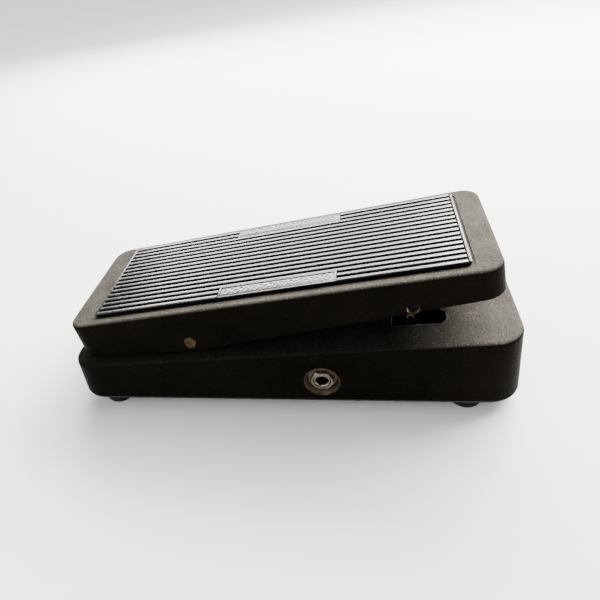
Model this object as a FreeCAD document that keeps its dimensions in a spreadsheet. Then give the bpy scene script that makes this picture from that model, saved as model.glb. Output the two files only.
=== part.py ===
# Rocker-type guitar effect pedal (foot-operated sweep filter), modelled in its own frame.
# +X is the player's right, +Y the toe end, +Z up; the origin is the centre of the footprint,
# on the surface the rubber feet stand on.  Millimetres throughout.
import FreeCAD, Part
import math
import os
import re
import Sketcher

V = FreeCAD.Vector

# ---------------------------------------------------------------- driving dimensions
DIMS = dict(
    # base shell
    base_half_w=51.0, base_half_l=126.0, base_corner=17.3, base_draft=3.5,
    foot_height=7.5, plate_thick=1.6, heel_top=31.2, toe_top=47.9, wall=3.0, edge_round=2.2,
    # treadle (local frame: X across, Y along the tread, Z square to it)
    tilt=7.65, tread_z=70.9, tread_half_w=42.0, tread_heel=121.8, tread_toe=111.4,
    tread_corner=10.0, tread_flare=2.3, tread_round=2.1, tread_roof=3.0, tread_wall=2.5,
    skirt_deep=32.0,
    # mat
    mat_half_w=35.4, mat_heel=104.6, mat_toe=97.4, mat_sheet=0.8, mat_rib_high=1.25,
    mat_seat_deep=0.6, mat_seat_gap=1.6, mat_toe_gap=1.6,
    mat_rib_wide=2.3, mat_rib_pitch=4.25, mat_ribs=17, panel_wide=9.2, panel_heel=29.5,
    panel_toe=34.0, panel_high=1.25,
    # pivot
    pivot_y=-48.0, pivot_z=43.9, rod_rad=3.8, lug_x=31.0, lug_wide=6.0, lug_rad=8.0,
    # jacks
    jack_y=23.2, jack_z=21.6, dish_rad=9.6, dish_floor_x=47.0, plug_rad=3.2, thread_rad=4.75,
    nut_flats=11.4, power_y=-12.0,
    # rack, pinion and potentiometer
    rack_y=70.0, pin_z=64.5, rack_x=25.5, rack_thick=4.0, mesh_y=67.4, mesh_z=30.6,
    tooth_module=0.8, pinion_teeth=18, rack_pin_rad=2.0, swing=7.6,
    # toe switch
    switch_y=98.0, switch_seat=42.0, switch_face=46.9, plunger_rad=4.6, plunger_top=58.0,
    # feet
    foot_x=39.5, foot_heel_y=-104.0, foot_toe_y=99.0, foot_rad=9.4, screw_rad=2.0,
)
D = DIMS
slope = math.degrees(math.atan2(D["toe_top"] - D["heel_top"], 2 * D["base_half_l"]))
D["plate_top"] = D["foot_height"] + D["plate_thick"]
D["roof_slope"] = round(slope, 5)
D["pitch_rad"] = D["tooth_module"] * D["pinion_teeth"] / 2
D["pinion_y"] = D["mesh_y"] - D["pitch_rad"]
D["tread_len"] = D["tread_heel"] + D["tread_toe"]

doc = FreeCAD.newDocument("rocker_pedal")
sheet = doc.addObject("Spreadsheet::Sheet", "dims")
for row, (alias, value) in enumerate(D.items(), start=1):
    sheet.set("A%d" % row, alias)
    sheet.set("B%d" % row, "%.6g" % value)
    sheet.setAlias("B%d" % row, alias)
doc.recompute()

nodes = {}


def expr(text):
    """Expression text in which every known dimension name refers to the sheet."""
    return re.sub(r"[A-Za-z_]\w*", lambda w: "dims." + w.group() if w.group() in D else w.group(),
                  str(text))


def bind(obj, props):
    for path, text in props.items():
        obj.setExpression(path, expr(text))
    return obj


def roof(y):
    """Height of the sloping top of the base at a station along the pedal."""
    return D["heel_top"] + (y + D["base_half_l"]) * math.tan(math.radians(slope))


AXES = {
    "X": FreeCAD.Rotation(V(0, 1, 0), 90),
    "-X": FreeCAD.Rotation(V(0, 1, 0), -90),
    "Y": FreeCAD.Rotation(V(1, 0, 0), -90),
    "Z": FreeCAD.Rotation(),
    "-Z": FreeCAD.Rotation(V(1, 0, 0), 180),
}


def solid(kind, name, at, sizes, axis="Z"):
    obj = doc.addObject("Part::" + kind, name)
    obj.Placement = FreeCAD.Placement(V(), AXES[axis])
    bind(obj, {"Placement.Base." + c: t for c, t in zip("xyz", at)})
    return bind(obj, sizes)


def box(name, at, size):
    return solid("Box", name, at, dict(zip(("Length", "Width", "Height"), size)))


def cyl(name, at, radius, length, axis="Z"):
    return solid("Cylinder", name, at, {"Radius": radius, "Height": length}, axis)


def cone(name, at, r1, r2, length, axis="Z"):
    return solid("Cone", name, at, {"Radius1": r1, "Radius2": r2, "Height": length}, axis)


def prism(name, at, circumradius, length, axis="Z", sides=6):
    obj = solid("Prism", name, at, {"Circumradius": circumradius, "Height": length}, axis)
    obj.Polygon = sides
    return obj


def fuse(name, parts):
    if len(parts) == 1:
        return parts[0]
    obj = doc.addObject("Part::MultiFuse", name)
    obj.Shapes = list(parts)
    return obj


def cut(name, base, tools):
    obj = doc.addObject("Part::Cut", name)
    obj.Base = base
    obj.Tool = fuse(name + "_tools", tools)
    return obj


def group(name, parts):
    obj = doc.addObject("Part::Compound", name)
    obj.Links = list(parts)
    return obj


def node(name, obj, tilted=False, placement=None):
    """Register a finished piece; tilted pieces are drawn in the treadle's own frame."""
    obj.Label = name
    if tilted:
        obj.Placement = FreeCAD.Placement(V(0, 0, D["tread_z"]),
                                          FreeCAD.Rotation(V(1, 0, 0), D["tilt"]))
    elif placement is not None:
        obj.Placement = placement
    nodes[name] = obj
    return obj


def both_sides(name, make):
    return [make("%s_%s" % (name, "right" if s > 0 else "left"), s) for s in (1, -1)]


def plane_of(body, role):
    return [f for f in body.Origin.OriginFeatures if f.Role == role][0]


def new_sketch(body, name, role, height="0"):
    sk = body.newObject("Sketcher::SketchObject", name)
    sk.AttachmentSupport = (plane_of(body, role), "")
    sk.MapMode = "FlatFace"
    sk.setExpression("AttachmentOffset.Base.z", expr(height))
    return sk


def rounded_rectangle(body, name, role, half_w, low, high, radius, height="0"):
    """Fully constrained rounded rectangle: +-half_w across, low..high along."""
    sk = new_sketch(body, name, role, height)
    w, lo, hi, r = (float(value_of(t)) for t in (half_w, low, high, radius))
    corners = [(w - r, hi - r, 0), (-w + r, hi - r, 90), (-w + r, lo + r, 180), (w - r, lo + r, 270)]
    arcs = []
    for cx, cy, start in corners:
        circle = Part.Circle(V(cx, cy, 0), V(0, 0, 1), r)
        a = math.radians(start)
        arcs.append(sk.addGeometry(Part.ArcOfCircle(circle, a, a + math.pi / 2)))
    ends = [(V(w - r, hi, 0), V(-w + r, hi, 0)), (V(-w, hi - r, 0), V(-w, lo + r, 0)),
            (V(-w + r, lo, 0), V(w - r, lo, 0)), (V(w, lo + r, 0), V(w, hi - r, 0))]
    lines = [sk.addGeometry(Part.LineSegment(p, q)) for p, q in ends]
    for k in range(4):
        sk.addConstraint(Sketcher.Constraint("Tangent", arcs[k], 2, lines[k], 1))
        sk.addConstraint(Sketcher.Constraint("Tangent", lines[k], 2, arcs[(k + 1) % 4], 1))
        sk.addConstraint(Sketcher.Constraint("Horizontal" if k % 2 == 0 else "Vertical", lines[k]))
        if k:
            sk.addConstraint(Sketcher.Constraint("Equal", arcs[0], arcs[k]))
    for text, con in (
            (radius, Sketcher.Constraint("Radius", arcs[0], r)),
            (half_w, Sketcher.Constraint("DistanceX", lines[3], 1, w)),
            ("-(%s)" % half_w, Sketcher.Constraint("DistanceX", lines[1], 1, -w)),
            (high, Sketcher.Constraint("DistanceY", lines[0], 1, hi)),
            (low, Sketcher.Constraint("DistanceY", lines[2], 1, lo))):
        k = sk.addConstraint(con)
        sk.setExpression("Constraints[%d]" % k, expr(text))
    return sk


def value_of(text):
    """Value of an arithmetic expression text, read through the sheet's own engine."""
    return sheet.evalExpression(expr(text).replace("dims.", ""))


def polygon(body, name, role, points):
    """Closed polygon sketch with every corner held by two dimensions."""
    sk = new_sketch(body, name, role)
    corners = [V(x, y, 0) for x, y in points]
    lines = [sk.addGeometry(Part.LineSegment(p, q))
             for p, q in zip(corners, corners[1:] + corners[:1])]
    for k, line in enumerate(lines):
        sk.addConstraint(Sketcher.Constraint("Coincident", line, 2, lines[(k + 1) % len(lines)], 1))
    for line, corner in zip(lines, corners):
        sk.addConstraint(Sketcher.Constraint("DistanceX", line, 1, corner.x))
        sk.addConstraint(Sketcher.Constraint("DistanceY", line, 1, corner.y))
    return sk


def feature(body, kind, name, sk, props, reverse=False, **plain):
    obj = body.newObject("PartDesign::" + kind, name)
    obj.Profile = sk
    for key, value in plain.items():
        setattr(obj, key, value)
    obj.Reversed = reverse
    bind(obj, props)
    doc.recompute()
    body.Tip = obj
    return obj


def removes(body, before, what):
    doc.recompute()
    if not body.Shape.Volume < before - 1:
        raise RuntimeError(what + " removed nothing")
    return body.Shape.Volume


def fillet_edges(body, name, radius, wanted):
    """Round the edges of the body's tip that the test function picks out."""
    doc.recompute()
    last = body.Tip
    names = ["Edge%d" % k for k, e in enumerate(last.Shape.Edges, 1) if wanted(e)]
    obj = body.newObject("PartDesign::Fillet", name)
    obj.Base = (last, names)
    bind(obj, {"Radius": radius})
    doc.recompute()
    body.Tip = obj
    return obj


# ---------------------------------------------------------------- base shell
side = D["base_half_l"] + 10


def wedge_block(name, inset, drop):
    """Drafted block with the sloping top, drawn in by inset and lowered by drop."""
    body = doc.addObject("PartDesign::Body", name)
    outline = rounded_rectangle(
        body, name + "_outline", "XY_Plane", "base_half_w - %s" % inset,
        "-base_half_l + %s" % inset, "base_half_l - %s" % inset, "base_corner - %s" % inset,
        "plate_top")
    feature(body, "Pad", name + "_pad", outline, {"Length": "60", "TaperAngle": "-base_draft"})
    volume = body.Shape.Volume
    top = polygon(body, name + "_slope", "YZ_Plane", [
        (-side, roof(-side) - drop), (side, roof(side) - drop), (side, 90), (-side, 90)])
    feature(body, "Pocket", name + "_wedge", top, {}, Type="ThroughAll", Midplane=True)
    removes(body, volume, name + " wedge")
    return body


def on_slope(edge):
    return all(abs(v.Z - roof(v.Y)) < 0.05 for v in edge.Vertexes) and abs(
        edge.CenterOfMass.z - roof(edge.CenterOfMass.y)) < 0.05


shell = wedge_block("base_shell", "0", 0)
fillet_edges(shell, "base_top_round", "edge_round", on_slope)
cavity = wedge_block("base_cavity", "wall", D["wall"])

FEET = [(sx * D["foot_x"], D[end]) for sx in (1, -1) for end in ("foot_heel_y", "foot_toe_y")]
BOARD_POSTS = [(sx * 27.5, y) for sx in (1, -1) for y in (-45.0, 3.0)]
BRACKET_POSTS = [(9.5, 46.0), (9.5, 75.0)]


def post(name, x, y, radius, low):
    high = roof(y) - D["wall"] / 2
    return cyl(name, (x, y, low), radius, "%.4f - (%s)" % (high, low))


posts = [post("foot_boss_%d" % k, x, y, 4.6, "plate_top") for k, (x, y) in enumerate(FEET)]
posts += [post("board_boss_%d" % k, x, y, 3.0, 20.6) for k, (x, y) in enumerate(BOARD_POSTS)]
posts += [post("bracket_boss_%d" % k, x, y, 3.4, 39.2) for k, (x, y) in enumerate(BRACKET_POSTS)]
posts.append(cyl("switch_pad", (0, "switch_y", "switch_seat"), 12.0, "switch_face - switch_seat"))


def lug(name, s):
    x = "lug_x" if s > 0 else "-lug_x - lug_wide"
    low = roof(D["pivot_y"]) - 2.0
    return fuse(name, [
        box(name + "_stem", (x, "pivot_y - lug_rad", low), ("lug_wide", "2 * lug_rad",
                                                            "pivot_z - %.4f" % low)),
        cyl(name + "_eye", (x, "pivot_y", "pivot_z"), "lug_rad", "lug_wide", "X")])


def jack_boss(name, s):
    x = "dish_floor_x - 3.5" if s > 0 else "-dish_floor_x - 1"
    return cyl(name, (x, "jack_y", "jack_z"), 11.0, 4.5, "X")


posts += both_sides("pivot_lug", lug) + both_sides("jack_boss", jack_boss)
posts.append(cyl("power_boss", (-48.5, "power_y", "jack_z"), 9.0, 3.5, "X"))

holes = [cyl("foot_pilot_%d" % k, (x, y, 0), "screw_rad + 0.05", 24.0) for k, (x, y) in enumerate(FEET)]
holes += [cyl("board_pilot_%d" % k, (x, y, 18), 1.3, 10.0) for k, (x, y) in enumerate(BOARD_POSTS)]
holes += [cyl("bracket_pilot_%d" % k, (x, y, 37), 1.3, 4.6)
          for k, (x, y) in enumerate(BRACKET_POSTS)]


def jack_dish(name, s):
    axis = "X" if s > 0 else "-X"
    floor_x = "dish_floor_x" if s > 0 else "-dish_floor_x"
    return fuse(name, [
        cone(name + "_cone", (floor_x, "jack_y", "jack_z"), 7.9, "dish_rad + 0.5", 4.2, axis),
        cyl(name + "_bore", ("-60" if s < 0 else "30", "jack_y", "jack_z"), "thread_rad + 0.05",
            30.0, "X")])


holes += both_sides("jack_dish", jack_dish)
holes += both_sides("pivot_bore", lambda name, s: cyl(
    name, ("lug_x - 1" if s > 0 else "-lug_x - lug_wide - 1", "pivot_y", "pivot_z"), 5.55,
    "lug_wide + 2", "X"))
holes.append(cyl("power_bore", (-60, "power_y", "jack_z"), 5.6, 20.0, "X"))
holes.append(cyl("switch_bore", (0, "switch_y", 35), 6.05, 20.0))
slot_block = box("slot_block", (18.5, 60.5, 30), (12.3, 28.0, 30.0))
slot = doc.addObject("Part::Chamfer", "slot_shape")
slot.Base = slot_block
doc.recompute()
slot.Edges = [(k, 3.0, 3.0) for k, e in enumerate(slot_block.Shape.Edges, 1)
              if all(v.Y > 88 for v in e.Vertexes) and abs(e.Vertexes[0].Z - e.Vertexes[1].Z) > 9]
holes.append(slot)
hollow = cut("base_hollow", shell, [cavity])
housing = cut("base_housing", fuse("base_casting", [hollow] + posts), holes)
node("base_housing", housing)

plate_body = doc.addObject("PartDesign::Body", "base_plate")
plate_outline = rounded_rectangle(plate_body, "plate_outline", "XY_Plane", "base_half_w - 0.7",
                                  "-base_half_l", "base_half_l", "base_corner", "foot_height")
feature(plate_body, "Pad", "plate_sheet", plate_outline, {"Length": "plate_thick"})
plate = cut("base_plate_drilled", plate_body,
            [cyl("plate_hole_%d" % k, (x, y, 5), "screw_rad + 0.3", 8) for k, (x, y) in enumerate(FEET)])
node("base_plate", plate)

feet = []
screws = []
for k, (x, y) in enumerate(FEET):
    bun = cone("foot_bun_%d" % k, (x, y, 0), "foot_rad - 1", "foot_rad", "foot_height")
    feet.append(cut("foot_%d" % k, bun, [
        cyl("foot_well_%d" % k, (x, y, -1), 4.6, 5.0),
        cyl("foot_hole_%d" % k, (x, y, 0), "screw_rad + 0.1", 10)]))
    screws.append(cut("foot_screw_%d" % k, fuse("foot_screw_body_%d" % k, [
        cyl("screw_head_%d" % k, (x, y, 1.6), 3.9, 2.4),
        cyl("screw_shank_%d" % k, (x, y, 3.9), "screw_rad", 17.0)]), [
        box("screw_slot_a_%d" % k, (x - 2.4, y - 0.5, 1), (4.8, 1.0, 1.7)),
        box("screw_slot_b_%d" % k, (x - 0.5, y - 2.4, 1), (1.0, 4.8, 1.7))]))
node("rubber_feet", group("rubber_feet", feet))
node("foot_screws", group("foot_screws", screws))

# ---------------------------------------------------------------- pivot bushings and bumpers


def bushing(name, s):
    axis = "X" if s > 0 else "-X"
    sign = "" if s > 0 else "-"
    return cut(name, fuse(name + "_solid", [
        cyl(name + "_sleeve", (sign + "(lug_x)", "pivot_y", "pivot_z"), 5.5, "lug_wide", axis),
        cyl(name + "_flange", (sign + "(lug_x + lug_wide)", "pivot_y", "pivot_z"), 7.2, 1.0, axis)]),
        [cyl(name + "_bore", (-60, "pivot_y", "pivot_z"), "rod_rad + 0.05", 120, "X")])


node("pivot_bushings", group("pivot_bushings", both_sides("pivot_bushing", bushing)))


def slope_pads(name, stations, radius, thick):
    pads = [cyl("%s_%d" % (name, k), (x, y / math.cos(math.radians(slope)), 0), radius, thick)
            for k, (x, y) in enumerate(stations)]
    return node(name, group(name, pads), placement=FreeCAD.Placement(
        V(0, 0, roof(0)), FreeCAD.Rotation(V(1, 0, 0), slope)))


slope_pads("heel_bumpers", [(-25.0, -116.5), (25.0, -116.5)], 4.5, 2.2)

# ---------------------------------------------------------------- jacks
for which, s in (("input", 1), ("output", -1)):
    axis = "X" if s > 0 else "-X"
    sign = "" if s > 0 else "-"
    name = which + "_jack"

    def at(x, sign=sign):
        return (sign + "(%s)" % x, "jack_y", "jack_z")

    block_x = 22.0 if s > 0 else -43.5
    node(name, cut(name, box(name + "_block", (block_x, "jack_y - 9.5", "jack_z - 8.5"),
                             (21.5, 19, 17)), [
        cyl(name + "_seat", at("35"), "thread_rad + 0.05", 12, axis),
        cyl(name + "_well", at("23.5"), 4.2, 13, axis)]))
    node(name + "_bushing", cut(name + "_bushing",
         cyl(name + "_thread", at("35"), "thread_rad", 14.6, axis),
         [cyl(name + "_mouth", at("34"), "plug_rad", 20, axis)]))
    node(name + "_washer", cut(name + "_washer", cyl(name + "_ring", at("dish_floor_x"), 7.4, 0.5, axis),
         [cyl(name + "_ring_hole", at("40"), "thread_rad + 0.05", 12, axis)]))
    hexagon = prism(name + "_hex", at("dish_floor_x + 0.5"), "nut_flats / sqrt(3)", 2.1, axis)
    hexagon.Placement = FreeCAD.Placement(V(), AXES[axis].multiply(FreeCAD.Rotation(V(0, 0, 1), 30)))
    bevel = cone(name + "_bevel", at("dish_floor_x + 0.5"), "nut_flats * 0.68", "nut_flats * 0.52",
                 2.1, axis)
    blank = doc.addObject("Part::MultiCommon", name + "_nut_blank")
    blank.Shapes = [hexagon, bevel]
    node(name + "_nut", cut(name + "_nut", blank,
         [cyl(name + "_nut_hole", at("40"), "thread_rad + 0.05", 12, axis)]))

lugs = []
for k in range(3):
    for s in (1, -1):
        x = 20.2 if s > 0 else -22.0
        lugs.append(box("jack_lug_%d_%d" % (k, s > 0), (x, "jack_y + %d" % (5 * k - 6), "jack_z + 4.5"),
                        (1.8, 2.2, 0.7)))
node("jack_terminals", group("jack_terminals", lugs))

node("power_jack", cut("power_jack", fuse("power_jack_solid", [
    box("power_jack_block", (-45.0, "power_y - 6.5", "jack_z - 6.5"), (13.0, 13, 13)),
    cyl("power_jack_collar", (-49.8, "power_y", "jack_z"), 5.5, 5.0, "X")]), [
    cyl("power_jack_mouth", (-51, "power_y", "jack_z"), 2.9, 11.0, "X")]))
node("power_jack_pin", cyl("power_jack_pin", (-48.5, "power_y", "jack_z"), 1.05, 8.5, "X"))

# ---------------------------------------------------------------- toe switch
node("footswitch_body", cut("footswitch_body", box(
    "switch_can", (-8.5, "switch_y - 8.5", 23), (17, 17, "switch_seat - 23")), [
    cyl("switch_can_bore", (0, "switch_y", 38), "plunger_rad + 0.05", 10)]))
node("footswitch_bushing", cut("footswitch_bushing",
     cyl("switch_thread", (0, "switch_y", "switch_seat"), 6.0, 10.0),
     [cyl("switch_thread_bore", (0, "switch_y", 40), "plunger_rad + 0.05", 20)]))
node("footswitch_washer", cut("footswitch_washer",
     cyl("switch_ring", (0, "switch_y", "switch_face"), 8.6, 0.8),
     [cyl("switch_ring_bore", (0, "switch_y", 40), 6.05, 20)]))
node("footswitch_nut", cut("footswitch_nut",
     prism("switch_hex", (0, "switch_y", "switch_face + 0.8"), 8.1, 2.2),
     [cyl("switch_hex_bore", (0, "switch_y", 40), 6.05, 20)]))
node("footswitch_terminals", group("footswitch_terminals", [
    box("switch_lug_%d" % k, (-5.6 + 4.5 * (k % 3), "switch_y + %d" % (5 if k < 3 else -6), 19.4),
        (2.2, 0.8, 3.6)) for k in range(6)]))
cap = doc.addObject("Part::Fillet", "plunger_dome")
cap.Base = cyl("plunger_rod", (0, "switch_y", 44.5), "plunger_rad", "plunger_top - 44.5")
doc.recompute()
cap.Edges = [(k, 1.2, 1.2) for k, e in enumerate(cap.Base.Shape.Edges, 1)
             if e.BoundBox.ZMin > D["plunger_top"] - 0.1]
node("footswitch_plunger", cap)

# ---------------------------------------------------------------- potentiometer, rack and pinion
bracket = [box("bracket_web", (14.5, 42, 21), (1.5, 37, 17.0))]
bracket += [box("bracket_flange_%d" % k, (4.0, y, 37.7), (12.0, 8.0, 1.5))
            for k, y in enumerate((42.0, 71.0))]
bracket_holes = [cyl("bracket_eye", (10, "pinion_y", "mesh_z"), 3.55, 10, "X")]
bracket_holes += [cyl("bracket_hole_%d" % k, (x, y, 30), 1.6, 12)
                  for k, (x, y) in enumerate(BRACKET_POSTS)]
node("pot_bracket", cut("pot_bracket", fuse("bracket_sheet", bracket), bracket_holes))
node("bracket_screws", group("bracket_screws", [fuse("bracket_screw_%d" % k, [
    cyl("bracket_screw_head_%d" % k, (x, y, 36.1), 2.6, 1.6),
    cyl("bracket_screw_shank_%d" % k, (x, y, 37.0), 1.25, 4.0)])
    for k, (x, y) in enumerate(BRACKET_POSTS)]))
node("potentiometer", cut("potentiometer", cyl(
    "pot_can", (4.0, "pinion_y", "mesh_z"), 8.4, 10.5, "X"), [
    cyl("pot_can_bore", (7.0, "pinion_y", "mesh_z"), 3.0, 10, "X")]))
node("pot_bushing", cut("pot_bushing", cyl("pot_thread", (14.5, "pinion_y", "mesh_z"), 3.5, 6.3, "X"), [
    cyl("pot_thread_bore", (10, "pinion_y", "mesh_z"), 3.0, 20, "X")]))
node("pot_nut", cut("pot_nut", prism("pot_hex", (16.0, "pinion_y", "mesh_z"), 5.8, 2.0, "X"), [
    cyl("pot_hex_bore", (10, "pinion_y", "mesh_z"), 3.55, 20, "X")]))
node("pot_terminals", cut("pot_terminals", group("pot_lugs", [
    box("pot_lug_%d" % k, (12.0, "pinion_y + %d" % (5 * k - 6), 16.4), (0.8, 2.0, 9.4))
    for k in range(3)]), [cyl("pot_lug_trim", (4.0, "pinion_y", "mesh_z"), 8.4, 10.5, "X")]))
node("rack_guide_spring", fuse("rack_guide_spring", [
    box("guide_leaf", (16.0, 72.8, 24.0), (15.0, 0.7, 13.0)),
    box("guide_foot", (16.0, 73.5, 24.0), (0.7, 4.0, 13.0))]))
node("pot_shaft", cyl("pot_shaft", (8.0, "pinion_y", "mesh_z"), 2.95, 22.5, "X"))


def gear_profile(module, teeth, backlash):
    """Corners of a 20 degree involute spur gear, one tooth centred on the first axis."""
    pitch = module * teeth / 2
    base = pitch * math.cos(math.radians(20))
    tip, root = pitch + 0.9 * module, pitch - 1.2 * module
    inv20 = math.tan(math.radians(20)) - math.radians(20)
    half = math.pi / (2 * teeth) - backlash / (2 * pitch)

    def flank(radius):
        a = math.acos(min(1.0, base / radius))
        return half + inv20 - (math.tan(a) - a)

    radii = [max(base, root) + (tip - max(base, root)) * k / 5 for k in range(6)]
    low = [(root, flank(base))] if root < base else []
    rising = [(r, -a) for r, a in low + [(r, flank(r)) for r in radii]]
    tooth = rising + [(r, -a) for r, a in reversed(rising)]
    corners = []
    for k in range(teeth):
        turn = 2 * math.pi * k / teeth
        corners += [(r * math.cos(a + turn), r * math.sin(a + turn)) for r, a in tooth]
    return corners


def rack_profile(module, low, high, back, backlash):
    """Side view of the rack: teeth on its heel side, a gap centred on height zero."""
    pitch = math.pi * module
    tan20 = math.tan(math.radians(20))
    half = pitch / 4 - backlash / 2
    tip, root = -0.9 * module, 1.2 * module
    corners = [(root, low)]
    first = math.ceil((low + pitch / 2) / pitch)
    last = math.floor((high - pitch / 2) / pitch)
    for k in range(first, last):
        centre = (k + 0.5) * pitch
        wide, slim = half + root * tan20, half + tip * tan20
        corners += [(root, centre - wide), (tip, centre - slim), (tip, centre + slim),
                    (root, centre + wide)]
    return corners + [(root, high), (back, high), (back, low)]


def extruded(name, corners, at, length):
    """Part::Feature for toothed outlines: (y, z) corners swept along X."""
    wire = Part.makePolygon([V(0, y, z) for y, z in corners + corners[:1]])
    obj = doc.addObject("Part::Feature", name)
    obj.Shape = Part.Face(wire).extrude(V(length, 0, 0))
    obj.Placement = FreeCAD.Placement(at, FreeCAD.Rotation())
    return obj


M = D["tooth_module"]
mesh = V(0, D["mesh_y"], D["mesh_z"])
wheel = extruded("pinion_teeth_ring", gear_profile(M, int(D["pinion_teeth"]), 0.12),
                 V(D["rack_x"] - 0.4, D["pinion_y"], D["mesh_z"]), D["rack_thick"] + 0.8)
node("pinion_gear", cut("pinion_gear", fuse("pinion_blank", [
    wheel, cyl("pinion_hub", (21.6, "pinion_y", "mesh_z"), 5.0, 3.6, "X")]), [
    cyl("pinion_bore", (10, "pinion_y", "mesh_z"), 2.96, 30, "X")]))

bar = extruded("rack_bar", rack_profile(M, -5.0, 20.0, 5.1, 0.12),
               V(D["rack_x"], mesh.y, mesh.z), D["rack_thick"])
neck = box("rack_neck", ("rack_x", "mesh_y + 1", "mesh_z + 19.5"), ("rack_thick", 4.1, 9.5))
head = box("rack_head", ("rack_x", "rack_y - 4.3", "pin_z - 6"), ("rack_thick", 10.3, 10.0))
eye = fuse("rack_eye", [
    cyl("rack_eye_a", (20, "rack_y - 0.3", "pin_z"), "rack_pin_rad + 0.2", 20, "X"),
    cyl("rack_eye_b", (20, "rack_y + 2.0", "pin_z"), "rack_pin_rad + 0.2", 20, "X"),
    box("rack_eye_c", (20, "rack_y - 0.3", "pin_z - rack_pin_rad - 0.2"),
        (20, 2.3, "2 * (rack_pin_rad + 0.2)"))])
node("rack", cut("rack", fuse("rack_blank", [bar, neck, head]), [eye]))

# ---------------------------------------------------------------- treadle (its own tilted frame)
tilt = math.radians(D["tilt"])


def to_tread(y, z):
    """Position along and square to the tread of a point given in the pedal's frame."""
    rise = z - D["tread_z"]
    return (y * math.cos(tilt) + rise * math.sin(tilt), -y * math.sin(tilt) + rise * math.cos(tilt))


pivot_s, pivot_d = to_tread(D["pivot_y"], D["pivot_z"])
pin_s, pin_d = to_tread(D["rack_y"], D["pin_z"])

tray = doc.addObject("PartDesign::Body", "treadle_tray")
tread_outline = rounded_rectangle(tray, "tread_outline", "XY_Plane", "tread_half_w",
                                  "-tread_heel", "tread_toe", "tread_corner")
feature(tray, "Pad", "tread_block", tread_outline,
        {"Length": "skirt_deep", "TaperAngle": "tread_flare"}, reverse=True)
volume = tray.Shape.Volume
LOWER_EDGE = [(-140, 34.4), (-75, 35.6), (-66, 36.0), (-58, 36.8), (-50, 38.0), (-42, 39.2),
              (-32, 41.0), (-20, 43.6), (-8, 46.0), (3, 48.2), (125, 73.2)]
skirt = [to_tread(y, z) for y, z in LOWER_EDGE] + [(135, -60), (-150, -60)]
skirt_line = polygon(tray, "skirt_line", "YZ_Plane", skirt)
feature(tray, "Pocket", "skirt_trim", skirt_line, {}, Type="ThroughAll", Midplane=True)
volume = removes(tray, volume, "skirt trim")
inner = rounded_rectangle(tray, "tread_inner", "XY_Plane", "tread_half_w - tread_wall",
                          "-tread_heel + tread_wall", "tread_toe - tread_wall",
                          "tread_corner - tread_wall", "-tread_roof")
feature(tray, "Pocket", "tread_hollow", inner, {"Length": "60", "TaperAngle": "tread_flare"},
        Type="Length")
volume = removes(tray, volume, "tread hollow")


def on_top(edge):
    return all(abs(v.Z) < 0.05 for v in edge.Vertexes) and abs(edge.CenterOfMass.z) < 0.05


fillet_edges(tray, "tread_top_round", "tread_round", on_top)
volume = tray.Shape.Volume
seat = rounded_rectangle(tray, "mat_seat_outline", "XY_Plane", "mat_half_w + mat_seat_gap",
                         "-mat_heel - 0.05", "mat_toe + mat_toe_gap", "3.5")
feature(tray, "Pocket", "mat_seat", seat, {"Length": "mat_seat_deep"}, Type="Length")
volume = removes(tray, volume, "mat seat")

ribs = [box("tread_rib_%d" % k, (x - 1.0, -112.0, -8.0), (2.0, 150.0, 5.5))
        for k, x in enumerate((-16.0, 16.0))]
pivot_pads = both_sides("pivot_pad", lambda name, s: cyl(
    name, ("39.2" if s > 0 else "-42.0", "%.4f" % pivot_s, "%.4f" % pivot_d), 6.6, 2.8, "X"))
ears = [box("rack_ear_%d" % k, (x, "%.4f" % (pin_s - 5), "%.4f" % (pin_d - 3.6)),
            (2.5, 10.0, "%.4f" % (-pin_d + 3.6 - 1.5))) for k, x in enumerate((22.7, 29.8))]
tread_holes = [
    cyl("rod_hole", (-60, "%.4f" % pivot_s, "%.4f" % pivot_d), "rod_rad + 0.02", 120, "X"),
    cyl("rack_pin_hole", (15, "%.4f" % pin_s, "%.4f" % pin_d), "rack_pin_rad + 0.02", 20, "X"),
    cyl("skirt_access", (36, "%.4f" % pin_s, "%.4f" % pin_d), 3.1, 20, "X")]
node("treadle", cut("treadle", fuse("treadle_casting", [tray] + ribs + pivot_pads + ears),
                    tread_holes), tilted=True)

mat_body = doc.addObject("PartDesign::Body", "mat_body")
mat_outline = rounded_rectangle(mat_body, "mat_outline", "XY_Plane", "mat_half_w", "-mat_heel",
                                "mat_toe", "3.5", "0.02 - mat_seat_deep")
feature(mat_body, "Pad", "mat_base", mat_outline, {"Length": "mat_sheet + mat_seat_deep"})
rib_outline = rounded_rectangle(
    mat_body, "rib_outline", "XY_Plane", "mat_rib_wide / 2", "-mat_heel + 0.9", "mat_toe - 1.7", "0.3",
    "mat_sheet")
first_rib = feature(mat_body, "Pad", "mat_rib", rib_outline, {"Length": "mat_rib_high"})
pattern = mat_body.newObject("PartDesign::LinearPattern", "mat_rib_row")
pattern.Originals = [first_rib]
pattern.Direction = (rib_outline, ["H_Axis"])
bind(pattern, {"Length": "mat_rib_pitch * (mat_ribs - 1) / 2"})
pattern.Occurrences = int((D["mat_ribs"] + 1) / 2)
doc.recompute()
mat_body.Tip = pattern
doc.recompute()
mirror = doc.addObject("Part::Mirroring", "mat_mirror")
mirror.Source = mat_body
mirror.Normal = V(1, 0, 0)
panels = both_sides("mat_panel", lambda name, s: box(
    name, ("mat_half_w - panel_wide" if s > 0 else "-mat_half_w", "-panel_heel", "mat_sheet - 0.3"),
    ("panel_wide", "panel_heel + panel_toe", "panel_high + 0.3")))
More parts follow.
